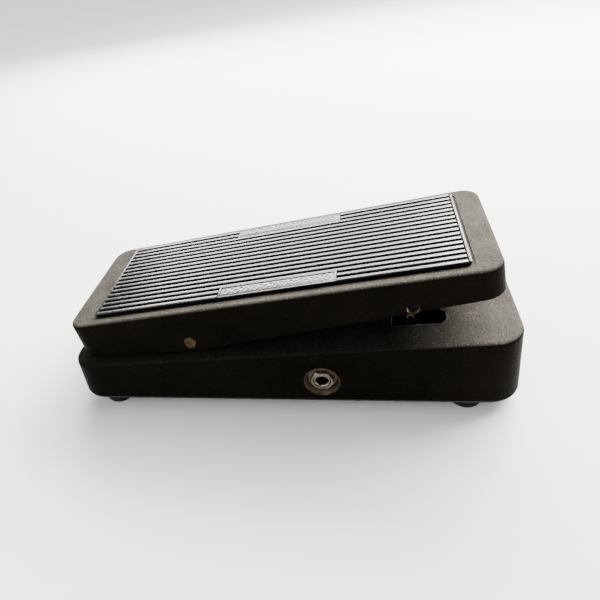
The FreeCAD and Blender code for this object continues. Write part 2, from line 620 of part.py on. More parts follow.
mat_ends = [
    box("mat_heel_band", ("-mat_half_w + 1.2", "-mat_heel + 0.05", "mat_sheet - 0.3"),
        ("2 * mat_half_w - 2.4", 1.2, "mat_rib_high + 0.3")),
    box("mat_toe_lip", ("-mat_half_w + 1.2", "mat_toe - 1.05", "mat_sheet - 0.3"),
        ("2 * mat_half_w - 2.4", 1.0, "mat_rib_high"))]
node("tread_mat", fuse("tread_mat", [mat_body, mirror] + panels + mat_ends), tilted=True)

node("pivot_rod", cyl("pivot_rod", (-43.3, "pivot_y", "pivot_z"), "rod_rad", 86.6, "X"))
node("rack_pin", fuse("rack_pin", [
    cyl("rack_pin_stem", (21.4, "rack_y", "pin_z"), "rack_pin_rad", 12.4, "X"),
    cyl("rack_pin_head", (32.4, "rack_y", "pin_z"), 3.2, 1.4, "X")]))
node("rack_pin_clip", cut("rack_pin_clip", cyl("clip_disc", (21.9, "rack_y", "pin_z"), 3.6, 0.7, "X"), [
    cyl("clip_hole", (20, "rack_y", "pin_z"), "rack_pin_rad + 0.02", 5, "X"),
    box("clip_gap", (20, "rack_y", "pin_z - 0.8"), (5, 6, 1.6))]))
strike_s = to_tread(94.4, 80.5)[0]
node("switch_striker", group("switch_striker", [
    cyl("striker_pad", (0, "%.4f" % strike_s, -6.0), 8.0, 3.0)]), tilted=True)

# ---------------------------------------------------------------- electronics
board_holes = [cyl("board_hole_%d" % k, (x, y, 15), 1.6, 10) for k, (x, y) in enumerate(BOARD_POSTS)]
node("circuit_board", cut("circuit_board", box("board_blank", (-31, -50, 19.0), (62, 58, 1.6)),
                          board_holes))
node("board_screws", group("board_screws", [fuse("board_screw_%d" % k, [
    cyl("board_screw_head_%d" % k, (x, y, 17.4), 2.6, 1.6),
    cyl("board_screw_shank_%d" % k, (x, y, 18.5), 1.25, 8)]) for k, (x, y) in enumerate(BOARD_POSTS)]))
node("board_capacitors", group("board_capacitors", [
    cyl("capacitor_%d" % k, (x, y, 20.6), r, high)
    for k, (x, y, r, high) in enumerate([(-12, -38, 3.2, 8), (-2, -40, 2.5, 7), (14, -36, 4.0, 9),
                                         (-20, -6, 2.5, 7), (20, -12, 3.2, 8)])]))
node("board_resistors", group("board_resistors", [
    cyl("resistor_%d" % k, (-24 + 9 * (k % 5), -26 + 7 * (k // 5), 21.9), 1.1, 6.2, "Y")
    for k in range(10)]))
node("board_transistors", group("board_transistors", [
    cyl("transistor_%d" % k, (x, -46, 22.0), 2.3, 4.6) for k, x in enumerate((-18.0, 4.0))]))
node("inductor", cut("inductor", cyl("inductor_can", (2, 0, 20.6), 7.5, 9.5), [
    cyl("inductor_eye", (2, 0, 25), 1.6, 6)]))
node("battery_pad", box("battery_pad", (-15, -115, "plate_top"), (30, 50, 1.4)))
node("battery", box("battery", (-13.25, -114, "plate_top + 1.4"), (26.5, 46.0, 17.3)))
node("battery_terminals", group("battery_terminals", [
    cyl("battery_stud_%d" % k, (x, -68, "plate_top + 10"), r, 2.5, "Y")
    for k, (x, r) in enumerate(((-6.3, 2.8), (6.3, 3.8)))]))
node("battery_snap", cut("battery_snap", box("snap_block", (-12, -67.8, "plate_top + 4.5"),
                                             (24, 5.0, 11)), [
    cyl("snap_hole_a", (-6.3, -69, "plate_top + 10"), 2.85, 3.8, "Y"),
    cyl("snap_hole_b", (6.3, -69, "plate_top + 10"), 3.85, 3.8, "Y")]))

# ---------------------------------------------------------------- checks and files
doc.recompute()
for obj in doc.Objects:
    if "Invalid" in obj.State or "Error" in obj.State:
        raise RuntimeError("%s did not recompute: %s" % (obj.Name, obj.State))
os.makedirs("parts", exist_ok=True)
for name, obj in nodes.items():
    shape = obj.Shape
    if shape.isNull() or not shape.isValid() or not shape.Solids:
        raise RuntimeError(name + " has no valid solid")
    shape.exportStep("parts/%s.step" % name)
    print("%-22s solids %d volume %.0f" % (name, len(shape.Solids), shape.Volume))
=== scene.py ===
import math
import bpy
import bmesh
from mathutils import Matrix, Vector


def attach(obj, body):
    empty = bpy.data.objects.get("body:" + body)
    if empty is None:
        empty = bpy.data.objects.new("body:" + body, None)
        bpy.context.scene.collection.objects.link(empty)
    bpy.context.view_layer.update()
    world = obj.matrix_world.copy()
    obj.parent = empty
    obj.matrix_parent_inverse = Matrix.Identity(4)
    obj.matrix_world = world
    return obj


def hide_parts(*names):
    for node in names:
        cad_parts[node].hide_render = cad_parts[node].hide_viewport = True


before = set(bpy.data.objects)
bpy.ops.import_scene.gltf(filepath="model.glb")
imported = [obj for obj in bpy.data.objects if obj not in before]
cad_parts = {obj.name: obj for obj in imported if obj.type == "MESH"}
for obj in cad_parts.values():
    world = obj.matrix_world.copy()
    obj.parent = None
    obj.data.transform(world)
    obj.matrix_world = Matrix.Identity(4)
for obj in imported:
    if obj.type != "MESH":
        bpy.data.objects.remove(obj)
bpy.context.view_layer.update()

MM = 0.001
BASE, TREAD, RACK = "base", "treadle_assembly", "rack_body"
TILT = math.radians(7.65)
TREAD_FRAME = Matrix.Translation((0, 0, 0.0709)) @ Matrix.Rotation(TILT, 4, "X")

# places in metres
PIVOT = Vector((0, -48.0, 43.9)) * MM
JACK = Vector((0, 23.2, 21.6)) * MM
RACK_PIN = Vector((40.35, 70.0, 64.5)) * MM
SWITCH_Y = 98.0 * MM
DISH_RADIUS, DISH_FROM_X = 0.00993, 0.0455
TURNING_MARKS = 14000.0
PEDAL_MIDDLE = Vector((0, 0, 0.06))
CAMERA_AT = Vector((0.243261, 0.050121, 0.223585))
CAMERA_YAW, CAMERA_PITCH, CAMERA_ROLL = (math.radians(a) for a in (14.505, 35.47, -10.155))
FOCAL_PER_SENSOR = 511.8 / 600
FLOOR_SIDES = 96

# lengths in millimetres: feet, pivot rod, sloping roof of the base, slot in that roof
FOOT_X, FOOT_ROWS = 39.5, (-104.0, 99.0)
ROD_END = 43.3
BASE_LONG, HEEL_TOP, TOE_TOP = 252.0, 31.2, 47.9
SLOT, SLOT_CORNER = (18.5, 30.8, 60.5, 88.5), 3.0

# tread mat in the treadle's frame, in millimetres: ends, half width, ribs, side panels
HEEL_END, TOE_END, HALF, PITCH = -104.6, 97.4, 35.4, 4.25
RIB_WIDE, RIB_HIGH, RIB_FLOOR, RIB_SOFT = 2.25, 1.3, 0.75, 0.16
OUTER_RIB, FIRST_CUT_RIB = 8, 7
PANEL_HEEL, PANEL_TOE, PANEL_IN, PANEL_OUT = -29.5, 34.0, 26.2, 35.4
LOZENGES, LOZENGE_END = 11, 4.6

COAT_IOR = 1.035  # low, so faces that the painted sheen does not reach stay dark


# ------------------------------------------------------------------ node helpers
class Graph:
    """Short-hand for building one material's node tree."""

    def __init__(self, name):
        self.mat = bpy.data.materials.new(name)
        self.mat.use_nodes = True
        self.tree = self.mat.node_tree
        self.tree.nodes.clear()
        out = self.add("ShaderNodeOutputMaterial")
        self.bsdf = self.add("ShaderNodeBsdfPrincipled")
        self.link(self.bsdf.outputs[0], out.inputs[0])
        self.where = self.add("ShaderNodeTexCoord").outputs["Object"]

    def add(self, kind, **props):
        node = self.tree.nodes.new(kind)
        for key, value in props.items():
            setattr(node, key, value)
        return node

    def link(self, a, b):
        self.tree.links.new(a, b)

    def put(self, socket, value):
        if hasattr(value, "links"):
            self.link(value, socket)
        else:
            socket.default_value = value

    def math(self, op, *values):
        node = self.add("ShaderNodeMath", operation=op)
        for socket, value in zip(node.inputs, values):
            self.put(socket, value)
        return node.outputs[0]

    def noise(self, scale, detail=3.0, rough=0.55, stretch=None, distort=0.0):
        node = self.add("ShaderNodeTexNoise")
        node.inputs["Scale"].default_value = scale
        node.inputs["Detail"].default_value = detail
        node.inputs["Roughness"].default_value = rough
        node.inputs["Distortion"].default_value = distort
        source = self.where
        if stretch:
            mapping = self.add("ShaderNodeMapping")
            mapping.inputs["Scale"].default_value = stretch
            self.link(source, mapping.inputs[0])
            source = mapping.outputs[0]
        self.link(source, node.inputs["Vector"])
        return node.outputs["Fac"]

    def cells(self, scale, feature):
        node = self.add("ShaderNodeTexVoronoi", feature=feature)
        node.inputs["Scale"].default_value = scale
        self.link(self.where, node.inputs["Vector"])
        return node.outputs["Distance"]

    def ramp(self, value, low, high, to_low=0.0, to_high=1.0):
        node = self.add("ShaderNodeMapRange", interpolation_type="SMOOTHSTEP")
        for socket, v in zip(node.inputs, (value, low, high, to_low, to_high)):
            self.put(socket, v)
        return node.outputs[0]

    def blend(self, fac, a, b):
        node = self.add("ShaderNodeMix", data_type="RGBA")
        for socket, v in zip((node.inputs[0], node.inputs[6], node.inputs[7]), (fac, a, b)):
            self.put(socket, v)
        return node.outputs[2]

    def axis(self, letter):
        if not hasattr(self, "split"):
            self.split = self.add("ShaderNodeSeparateXYZ")
            self.link(self.where, self.split.inputs[0])
        return self.split.outputs[letter]

    def bump(self, heights):
        """Chains bump layers: heights is a list of (height socket, strength, distance)."""
        normal = None
        for height, power, depth in heights:
            node = self.add("ShaderNodeBump")
            node.inputs["Strength"].default_value = power
            node.inputs["Distance"].default_value = depth
            self.link(height, node.inputs["Height"])
            if normal is not None:
                self.link(normal, node.inputs["Normal"])
            normal = node.outputs[0]
        self.link(normal, self.bsdf.inputs["Normal"])

    def set(self, **sockets):
        for key, value in sockets.items():
            self.put(self.bsdf.inputs[key.replace("_", " ")], value)


def rgba(r, g, b):
    return (r, g, b, 1.0)


def grey(v):
    return rgba(v, v, v)


# ------------------------------------------------------------------ materials
def powder_coat(name, bare_rings=False):
    """Charcoal powder coat with orange-peel grain, painted glints and a pale painted sheen on faces
    that look up. The sheen stands in for the top light and is dimmer towards the heel.

    With bare_rings it is the base's coat: painted shade where the treadle shades it, bare metal in
    the two socket dishes.
    """
    g = Graph(name)
    broad = g.noise(28, 4, 0.6)
    grain = g.noise(2100, 2, 0.6)
    coarse = g.noise(1050, 2, 0.5)
    tone = g.blend(g.ramp(broad, 0.3, 0.7), rgba(0.0031, 0.0026, 0.0017), rgba(0.0046, 0.0039, 0.0027))
    # Painted sheen: faces that look up are made paler. This is a painted highlight standing in for the top
    # light.
    facing = g.add("ShaderNodeSeparateXYZ")
    g.link(g.add("ShaderNodeTexCoord").outputs["Normal"], facing.inputs[0])
    patchy = g.ramp(g.noise(60, 6, 0.7), 0.2, 0.75, 0.6, 1.0)
    painted_sheen = g.math("MULTIPLY", g.ramp(facing.outputs["Z"], 0.45, 0.97), patchy)
    # The painted sheen fades along Y. On the base this gives painted shade where the treadle shades it; on
    # the treadle it gives a dimmer painted highlight towards the heel.
    sheen_reach = (0.056, 0.108, 0.12, 1.0) if bare_rings else (-0.11, 0.03, 0.72, 1.0)
    painted_sheen = g.math("MULTIPLY", painted_sheen, g.ramp(g.axis("Y"), *sheen_reach))
    tone = g.blend(painted_sheen, tone, rgba(0.077, 0.071, 0.061))
    # Painted glints: bright specks shown only where the painted sheen is.
    glint_spots = g.ramp(g.noise(1500, 1, 0.4), 0.56, 0.72)
    painted_glint = g.math("MULTIPLY", glint_spots, g.math("MULTIPLY_ADD", painted_sheen, 0.75, 0.01))
    tone = g.blend(painted_glint, tone, rgba(0.19, 0.18, 0.16))
    scuff = g.ramp(g.noise(75, 8, 0.75, stretch=(1.0, 0.25, 1.0)), 0.66, 0.78)
    tone = g.blend(g.math("MULTIPLY", scuff, 0.2), tone, rgba(0.05, 0.047, 0.043))
    rough = g.math("ADD", g.ramp(coarse, 0.2, 0.8, 0.28, 0.42), g.math("MULTIPLY", painted_sheen, 0.04))
    metal = 0.0
    layers = [(coarse, 1.0, 0.0004), (grain, 0.8, 0.00014)]
    if bare_rings:
        dy = g.math("SUBTRACT", g.axis("Y"), JACK.y)
        dz = g.math("SUBTRACT", g.axis("Z"), JACK.z)
        radius = g.math("SQRT", g.math("ADD", g.math("MULTIPLY", dy, dy), g.math("MULTIPLY", dz, dz)))
        wobble = g.math("MULTIPLY_ADD", g.noise(420, 3), 0.0005, radius)
        inside = g.math("LESS_THAN", wobble, DISH_RADIUS)
        outer = g.math("GREATER_THAN", g.math("ABSOLUTE", g.axis("X")), DISH_FROM_X)
        metal = g.math("MULTIPLY", inside, outer)
        rings = g.math("SINE", g.math("MULTIPLY", radius, TURNING_MARKS))
        bare = g.blend(g.ramp(g.noise(260, 5, 0.7), 0.35, 0.65), rgba(0.055, 0.041, 0.027),
                       rgba(0.11, 0.085, 0.06))
        tone = g.blend(metal, tone, bare)
        rough = g.math("MULTIPLY_ADD", metal, 0.05, rough)
        layers.append((g.math("MULTIPLY", rings, metal), 0.15, 0.00003))
    g.bump(layers)
    g.set(Base_Color=tone, Roughness=rough, Metallic=metal)
    g.bsdf.inputs["IOR"].default_value = COAT_IOR
    return g.mat


def rubber(name, dark=0.010, light=0.022, rough=(0.36, 0.5), dust=0.25, fine=2600, ior=1.5):
    """Rubber with a fine matt grain and dust in patches."""
    g = Graph(name)
    tone = g.blend(g.ramp(g.noise(60, 4, 0.6), 0.3, 0.7), grey(dark), grey(light))
    dusty = g.ramp(g.noise(210, 7, 0.72), 0.58, 0.8)
    tone = g.blend(g.math("MULTIPLY", dusty, dust), tone, rgba(0.13, 0.125, 0.115))
    g.set(Base_Color=tone, Roughness=g.ramp(g.noise(330, 4, 0.6), 0.25, 0.75, *rough))
    g.bump([(g.noise(fine, 2, 0.5), 0.35, 0.00008), (g.noise(420, 2, 0.5), 0.2, 0.0001)])
    g.bsdf.inputs["IOR"].default_value = ior
    return g.mat


def metal(name, dark, light, rough=(0.2, 0.36), lines=None, tarnish=0.3, stain=rgba(0.16, 0.12, 0.08)):
    """Plated or turned metal: cloudy plating, fine scratches, a little tarnish."""
    g = Graph(name)
    cloud = g.noise(180, 5, 0.65)
    tone = g.blend(g.ramp(cloud, 0.3, 0.7), dark, light)
    rust = g.ramp(g.noise(420, 7, 0.75), 0.6, 0.8)
    tone = g.blend(g.math("MULTIPLY", rust, tarnish), tone, stain)
    scratch = g.noise(900, 4, 0.7, stretch=lines or (1.0, 0.06, 1.0))
    roughness = g.math("ADD", g.ramp(scratch, 0.3, 0.7, *rough), g.math("MULTIPLY", rust, 0.18))
    g.set(Base_Color=tone, Roughness=roughness, Metallic=1.0)
    g.bump([(scratch, 0.25, 0.00003), (cloud, 0.1, 0.0001)])
    return g.mat


def moulded(name, dark, light, rough=(0.35, 0.55), fine=1500, bump=0.25, ior=1.45):
    """Moulded plastic with a faint eggshell and slight colour drift."""
    g = Graph(name)
    tone = g.blend(g.ramp(g.noise(90, 4, 0.6), 0.3, 0.7), dark, light)
    grime = g.ramp(g.noise(300, 7, 0.7), 0.62, 0.82)
    tone = g.blend(g.math("MULTIPLY", grime, 0.2), tone, tuple(0.5 * c for c in dark[:3]) + (1.0,))
    g.set(Base_Color=tone, Roughness=g.ramp(g.noise(500, 3), 0.3, 0.7, *rough))
    g.bump([(g.noise(fine, 2), bump, 0.00006)])
    g.bsdf.inputs["IOR"].default_value = ior
    return g.mat


def felt(name, dark, light):
    """Matted fibres, for felt and foam."""
    g = Graph(name)
    fibre = g.noise(2400, 6, 0.8, distort=1.5)
    g.set(Base_Color=g.blend(g.ramp(fibre, 0.35, 0.65), dark, light), Roughness=0.95)
    g.bsdf.inputs["Sheen Weight"].default_value = 0.4
    g.bump([(fibre, 0.8, 0.0002)])
    return g.mat


def board(name):
    """Solder-masked circuit board: lighter copper runs under green lacquer."""
    g = Graph(name)
    run = g.cells(110, "DISTANCE_TO_EDGE")
    copper = g.math("LESS_THAN", run, 0.07)
    tone = g.blend(copper, rgba(0.012, 0.085, 0.035), rgba(0.03, 0.17, 0.06))
    tone = g.blend(g.ramp(g.noise(160, 4), 0.4, 0.7, 0.0, 0.3), tone, rgba(0.01, 0.06, 0.03))
    g.set(Base_Color=tone, Roughness=g.ramp(g.noise(300, 3), 0.3, 0.7, 0.22, 0.38))
    g.bump([(copper, 0.4, 0.00004), (g.noise(1800, 2), 0.1, 0.00005)])
    return g.mat


def banded(name, body, bands, period, axis="Y"):
    """Lacquered component with colour rings along its length."""
    g = Graph(name)
    along = g.math("FRACT", g.math("DIVIDE", g.axis(axis), period))
    tone = g.blend(g.ramp(g.noise(300, 4), 0.3, 0.7), body, tuple(0.8 * c for c in body[:3]) + (1.0,))
    for k, colour in enumerate(bands):
        start = 0.2 + 0.18 * k
        inside = g.math("MULTIPLY", g.math("GREATER_THAN", along, start),
                        g.math("LESS_THAN", along, start + 0.08))
        tone = g.blend(inside, tone, colour)
    g.set(Base_Color=tone, Roughness=g.ramp(g.noise(700, 3), 0.3, 0.7, 0.25, 0.42))
    g.bump([(g.noise(900, 3), 0.2, 0.00005)])
    return g.mat


COAT = powder_coat("powder_coat_treadle")
COAT_BASE = powder_coat("powder_coat_base", bare_rings=True)
MAT_RUBBER = rubber("mat_rubber", 0.0025, 0.006, (0.22, 0.34), dust=0.03, ior=1.6)
# Darker, less shiny copy of the mat rubber: painted shade for the groove floors and the mat's sides.
MAT_RUBBER_SHADE = rubber("mat_rubber_painted_shade", 0.0014, 0.003, (0.5, 0.65), dust=0.02, ior=1.12)
FOOT_RUBBER = rubber("foot_rubber", 0.004, 0.009, (0.5, 0.7), dust=0.12, fine=1500, ior=1.2)
NICKEL = metal("nickel_plate", rgba(0.13, 0.115, 0.09), rgba(0.25, 0.23, 0.19), (0.14, 0.28))
ZINC = metal("zinc_plate", rgba(0.44, 0.44, 0.42), rgba(0.62, 0.61, 0.57), (0.3, 0.46))
ROD = metal("rod_steel", rgba(0.028, 0.018, 0.011), rgba(0.055, 0.037, 0.023), (0.3, 0.46), tarnish=0.5,
            stain=rgba(0.07, 0.04, 0.025))
SPRING = metal("spring_steel", rgba(0.36, 0.36, 0.37), rgba(0.5, 0.5, 0.5), (0.22, 0.4))
TINNED = metal("tinned_brass", rgba(0.55, 0.54, 0.5), rgba(0.75, 0.74, 0.7), (0.25, 0.4))
ALU = metal("turned_aluminium", rgba(0.6, 0.6, 0.61), rgba(0.78, 0.78, 0.78), (0.25, 0.4))
PLATE = moulded("plate_paint", rgba(0.012, 0.011, 0.01), rgba(0.02, 0.018, 0.016), (0.3, 0.45),
                fine=1200, bump=0.4)
BARE = metal("bare_casting", rgba(0.15, 0.115, 0.08), rgba(0.26, 0.205, 0.15), (0.4, 0.55), tarnish=0.5)
WORN = metal("worn_edge", rgba(0.035, 0.032, 0.028), rgba(0.11, 0.1, 0.09), (0.4, 0.55), tarnish=0.4,
             stain=rgba(0.02, 0.018, 0.015))
NYLON = moulded("natural_nylon", rgba(0.62, 0.6, 0.53), rgba(0.74, 0.72, 0.66))
ACETAL = moulded("white_acetal", rgba(0.68, 0.67, 0.62), rgba(0.8, 0.79, 0.75), (0.28, 0.42))
# Near-black steel for the rack pin, guide spring and pot bracket inside the base: painted shade.
STEEL_SHADED = metal("steel_painted_shade", rgba(0.012, 0.012, 0.013), rgba(0.03, 0.029, 0.028), (0.3, 0.45))
WASHER = metal("dull_washer", rgba(0.055, 0.041, 0.027), rgba(0.11, 0.085, 0.06), (0.3, 0.45), tarnish=0.4)
TIP = metal("polished_tip", rgba(0.3, 0.28, 0.24), rgba(0.5, 0.47, 0.42), (0.14, 0.26))
CLIP = metal("wire_clip", rgba(0.16, 0.13, 0.1), rgba(0.3, 0.26, 0.2), (0.2, 0.35))
# Black acetal, darkened below plain black plastic and made less shiny: its own black plus painted shade for
# the rack down in the slot.
RACK_BLACK_SHADED = moulded("black_acetal_painted_shade", grey(0.0014), grey(0.003), (0.3, 0.45), ior=1.12)
BLACK = moulded("black_moulding", grey(0.012), grey(0.022))
# Switch case: its own dark blue, darkened to near black as painted shade inside the slot.
SWITCH_CASE_SHADED = moulded("switch_case_painted_shade", rgba(0.002, 0.004, 0.01), rgba(0.003, 0.007, 0.018))
BATTERY = moulded("battery_jacket", rgba(0.02, 0.022, 0.03), rgba(0.05, 0.055, 0.07), (0.2, 0.35))
FELT = felt("felt_pad", grey(0.008), grey(0.02))
FOAM = felt("foam_pad", grey(0.03), grey(0.06))
BOARD = board("board_mask")
RESISTOR = banded("resistor_lacquer", rgba(0.55, 0.42, 0.25),
                  [rgba(0.3, 0.02, 0.01), rgba(0.02, 0.02, 0.02), rgba(0.5, 0.25, 0.02)], 0.0062)
CAPACITOR = banded("capacitor_sleeve", rgba(0.02, 0.035, 0.14), [rgba(0.5, 0.5, 0.48)], 0.009, "Z")
INDUCTOR = moulded("inductor_lacquer", rgba(0.24, 0.02, 0.015), rgba(0.34, 0.03, 0.02), (0.18, 0.3))

NODE_MATERIALS = {
    COAT: ["treadle"], COAT_BASE: ["base_housing"], PLATE: ["base_plate"],
    MAT_RUBBER: ["tread_mat"], FOOT_RUBBER: ["rubber_feet", "switch_striker"],
    ZINC: ["foot_screws", "bracket_screws", "potentiometer", "board_screws"],
    STEEL_SHADED: ["rack_pin", "rack_guide_spring", "pot_bracket"],
    WASHER: ["input_jack_washer", "output_jack_washer"],
    NYLON: ["pivot_bushings"], FELT: ["heel_bumpers"], FOAM: ["battery_pad"],
    BLACK: ["input_jack", "output_jack", "power_jack", "board_transistors", "battery_snap"],
    NICKEL: ["input_jack_bushing", "input_jack_nut", "output_jack_bushing", "output_jack_nut",
             "power_jack_pin", "footswitch_bushing", "footswitch_washer", "footswitch_nut",
             "footswitch_plunger", "pot_bushing", "pot_nut", "battery_terminals"],
    TINNED: ["jack_terminals", "footswitch_terminals", "pot_terminals"],
    SWITCH_CASE_SHADED: ["footswitch_body"], SPRING: ["rack_pin_clip"], ALU: ["pot_shaft"],
    ACETAL: ["pinion_gear"], RACK_BLACK_SHADED: ["rack"], ROD: ["pivot_rod"], BOARD: ["circuit_board"],
    CAPACITOR: ["board_capacitors"], RESISTOR: ["board_resistors"], INDUCTOR: ["inductor"],
    BATTERY: ["battery"],
}
for mat, names in NODE_MATERIALS.items():
    for name in names:
        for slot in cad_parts[name].material_slots:
            slot.material = mat


# ------------------------------------------------------------------ mesh helpers
def finish_mesh(name, bm, mat, body, replaced=(), smooth=40):
    """Turns a bmesh into a piece that rides on a body and may replace CAD nodes."""
    mesh = bpy.data.meshes.new(name)
    bmesh.ops.recalc_face_normals(bm, faces=bm.faces)
    bm.to_mesh(mesh)
    bm.free()
    obj = bpy.data.objects.new(name, mesh)
    bpy.context.scene.collection.objects.link(obj)
    mesh.materials.append(mat)
    mesh.shade_smooth()
    mesh.set_sharp_from_angle(angle=math.radians(smooth))
    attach(obj, body)
    if replaced:
        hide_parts(*replaced)


def frame_on(origin, direction):
    """Matrix whose Z runs along direction from origin."""
    z = Vector(direction).normalized()
    x = Vector((0, 0, 1)) if abs(z.z) < 0.9 else Vector((1, 0, 0))
    y = z.cross(x).normalized()
    x = y.cross(z)
    rot = Matrix((x, y, z)).transposed().to_4x4()
    return Matrix.Translation(origin) @ rot


def spin(bm, profile, matrix, steps=72):
    """Revolves (radius, height) points in mm; a closed profile gives a ring."""
    rings = []
    for k in range(steps):
        a = 2 * math.pi * k / steps
        rings.append([bm.verts.new(matrix @ Vector((r * math.cos(a) * MM, r * math.sin(a) * MM, h * MM)))
                      for r, h in profile])
    for k in range(steps):
        a, b = rings[k], rings[(k + 1) % steps]
        for j in range(len(profile) - 1):
            bm.faces.new((a[j], b[j], b[j + 1], a[j + 1]))
    bmesh.ops.remove_doubles(bm, verts=bm.verts[:], dist=2e-6)


def thread(low, high, outer, pitch, depth):
    """Profile points of a fine thread between two heights."""
    turns = max(2, int((high - low) / pitch))
    points = []
    for k in range(turns):
        z = low + (high - low) * k / turns
        step = (high - low) / turns
        points += [(outer - depth, z + 0.08 * step), (outer, z + 0.42 * step),
                   (outer, z + 0.58 * step), (outer - depth, z + 0.92 * step)]
    return points


def tube(bm, points, radius, steps=8, closed=False):
    """Round wire along points in mm, mitred at each point."""
    points = [Vector(p) for p in points]
    count = len(points)
    rings = []
    for k, p in enumerate(points):
        before = points[k - 1] if (k or closed) else p
        after = points[(k + 1) % count] if (k < count - 1 or closed) else p
        ahead = (after - before).normalized()
        rot = frame_on(Vector(), ahead).to_3x3()
        rings.append([bm.verts.new((p + rot @ Vector((radius * math.cos(a), radius * math.sin(a), 0))) * MM)
                      for a in (2 * math.pi * j / steps for j in range(steps))])
    pairs = list(zip(rings, rings[1:])) + ([(rings[-1], rings[0])] if closed else [])
    for a, b in pairs:
        for j in range(steps):
            n = (j + 1) % steps
            bm.faces.new((a[j], a[n], b[n], b[j]))
    if not closed:
        bm.faces.new(rings[0])
        bm.faces.new(rings[-1])


# ------------------------------------------------------------------ ribbed tread mat
def rib(bm, x, low, high, round_low=True):
    """One flat-topped rib with softened edges and ends, in the treadle's frame (mm)."""
    half, rise, soft = RIB_WIDE / 2, RIB_HIGH, RIB_SOFT
    near_top = rise - 0.3 * soft
    section = [(-half, 0.0), (-half, rise - soft), (-half + 0.3 * soft, near_top), (-half + soft, rise),
               (half - soft, rise), (half - 0.3 * soft, near_top), (half, rise - soft), (half, 0.0)]
    ends = [(0.0, 0.0, 0.94), (0.02, 0.8, 0.95), (0.12, 0.95, 0.98), (0.3, 1.0, 1.0)]
    stations = ([(low + d, s, w) for d, s, w in ends] if round_low else [(low, 1.0, 1.0)]) + [
        (high - d, s, w) for d, s, w in reversed(ends)]
    rows = []
    for y, s, w in stations:
        rows.append([bm.verts.new(TREAD_FRAME @ (Vector((x + px * w, y, RIB_FLOOR + pz * s)) * MM))
                     for px, pz in section])
    for a, b in zip(rows, rows[1:]):
        for j in range(len(section) - 1):
            bm.faces.new((a[j], a[j + 1], b[j + 1], b[j]))


def slab(bm, x0, x1, y0, y1, z0, z1, corner=0.6, edge=0.25, steps=5):
    """Rounded rectangular slab with a soft upper edge, in the treadle's frame (mm)."""
    def loop(inset, z):
        r = max(corner - inset, 0.05)
        points = []
        for cx, cy, start in ((x1 - inset - r, y1 - inset - r, 0), (x0 + inset + r, y1 - inset - r, 90),
                              (x0 + inset + r, y0 + inset + r, 180), (x1 - inset - r, y0 + inset + r, 270)):
            for k in range(steps + 1):
                a = math.radians(start + 90 * k / steps)
                points.append(bm.verts.new(TREAD_FRAME @ (Vector(
                    (cx + r * math.cos(a), cy + r * math.sin(a), z)) * MM)))
        return points
    loops = [loop(0, z0), loop(0, z1 - edge), loop(edge * 0.3, z1 - edge * 0.3), loop(edge, z1)]
    for a, b in zip(loops, loops[1:]):
        for k in range(len(a)):
            n = (k + 1) % len(a)
            bm.faces.new((a[k], a[n], b[n], b[k]))
    bm.faces.new(loops[-1])
    bm.faces.new(list(reversed(loops[0])))


def lozenge_ring(bm, x, y, half_x, half_y, band, z0, z1):
    """Raised hollow lozenge: the generic moulded relief of the side panels."""
    def loop(shrink, z):
        kx, ky = half_x - shrink, half_y - shrink
        return [bm.verts.new(TREAD_FRAME @ (Vector((x + a * kx, y + b * ky, z)) * MM))
                for a, b in ((1, 0), (0, 1), (-1, 0), (0, -1))]
    loops = [loop(0, z0), loop(0.06, z1), loop(band, z1), loop(band + 0.06, z0)]
    for low, high in zip(loops, loops[1:]):
        for k in range(4):
            n = (k + 1) % 4
            bm.faces.new((low[k], low[n], high[n], high[k]))


bm = bmesh.new()
slab(bm, -HALF, HALF, HEEL_END, HEEL_END + 1.3, 0.7, 2.05, corner=0.5, edge=0.16)
slab(bm, -HALF + 0.6, HALF - 0.6, TOE_END - 1.0, TOE_END, 0.7, 1.7, corner=0.45, edge=0.2)
for k in range(-OUTER_RIB, OUTER_RIB + 1):
    x = k * PITCH
    if abs(k) >= FIRST_CUT_RIB:
        rib(bm, x, HEEL_END + 1.1, PANEL_HEEL - 0.3, round_low=False)
        rib(bm, x, PANEL_TOE + 0.3, TOE_END - 1.7)
    else:
        rib(bm, x, HEEL_END + 1.1, TOE_END - 1.7, round_low=False)
finish_mesh("tread_mat_ribs", bm, MAT_RUBBER, TREAD)

# The sheet under the ribs, with the mat's side strips, uses the painted-shade rubber.
bm = bmesh.new()
slab(bm, -HALF, HALF, HEEL_END, TOE_END, -0.58, 0.8, corner=3.0, edge=0.15, steps=8)
for side in (1, -1):
    slab(bm, *sorted((side * (HALF - 0.3), side * (HALF + 0.02))),
         HEEL_END + 1.2, TOE_END - 1.6, 0.6, 1.78, corner=0.1, edge=0.05)
finish_mesh("tread_mat_sheet", bm, MAT_RUBBER_SHADE, TREAD, ["tread_mat"])

